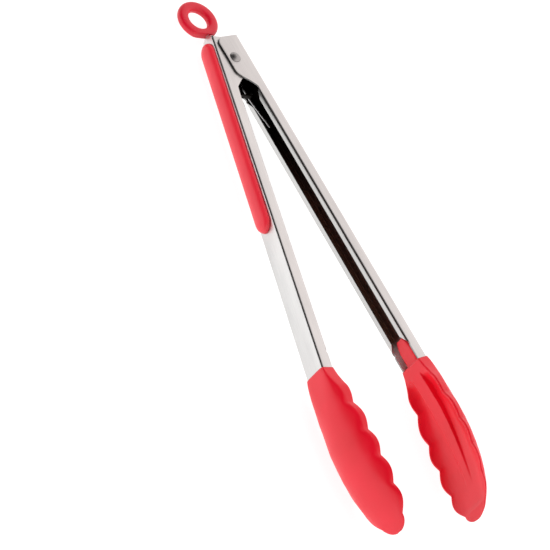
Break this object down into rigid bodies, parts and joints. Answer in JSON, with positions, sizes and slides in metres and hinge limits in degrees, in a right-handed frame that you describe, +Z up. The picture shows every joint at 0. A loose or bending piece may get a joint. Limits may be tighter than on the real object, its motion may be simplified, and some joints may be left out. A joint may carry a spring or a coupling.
{
  "type": "spring loaded kitchen tongs",
  "caption": "Spring loaded locking kitchen tongs with stainless channel arms, silicone grips, a pull ring lock and scalloped silicone gripping heads.",
  "frame": {"origin": "middle of the bounding box on the surface that the open tongs lie on", "axes": "+Y from the gripping heads towards the pull ring, +Z up and near the pivot axis, +X from the inner arm towards the outer arm"},
  "size_m": [0.0752, 0.3123, 0.0333],
  "materials": {
    "brushed_stainless": "brushed",
    "rivet_steel": "polished",
    "spring_wire": "drawn",
    "red_silicone": "matte",
    "red_nylon": "moulded"
  },
  "bodies": {
    "left_side": {"inner_arm": "brushed_stainless", "pivot_rivet": "rivet_steel", "spacer_sleeve": "rivet_steel", "torsion_spring": "spring_wire", "left_grip": "red_silicone", "left_head_core": "red_nylon", "left_head_skin": "red_silicone"},
    "right_side": {"outer_arm": "brushed_stainless", "spring_free_leg": "spring_wire", "right_grip": "red_silicone", "right_head_core": "red_nylon", "right_head_skin": "red_silicone"},
    "lock": {"lock_slider": "brushed_stainless", "pull_ring": "red_silicone"}
  },
  "joints": [
    {"name": "arm_hinge", "type": "hinge", "parent": "left_side", "child": "right_side", "pos_m": [0, 0.11612, 0.00793], "axis": [0, -0.038, -0.9993], "range_deg": [0, 10.2], "stiffness_Nm_per_rad": 0.4, "springref_deg": -28.65},
    {"name": "lock_pull", "type": "slide", "parent": "left_side", "child": "lock", "axis": [0.1288, 0.991, -0.0377], "range_m": [0, 0.005]}
  ]
}
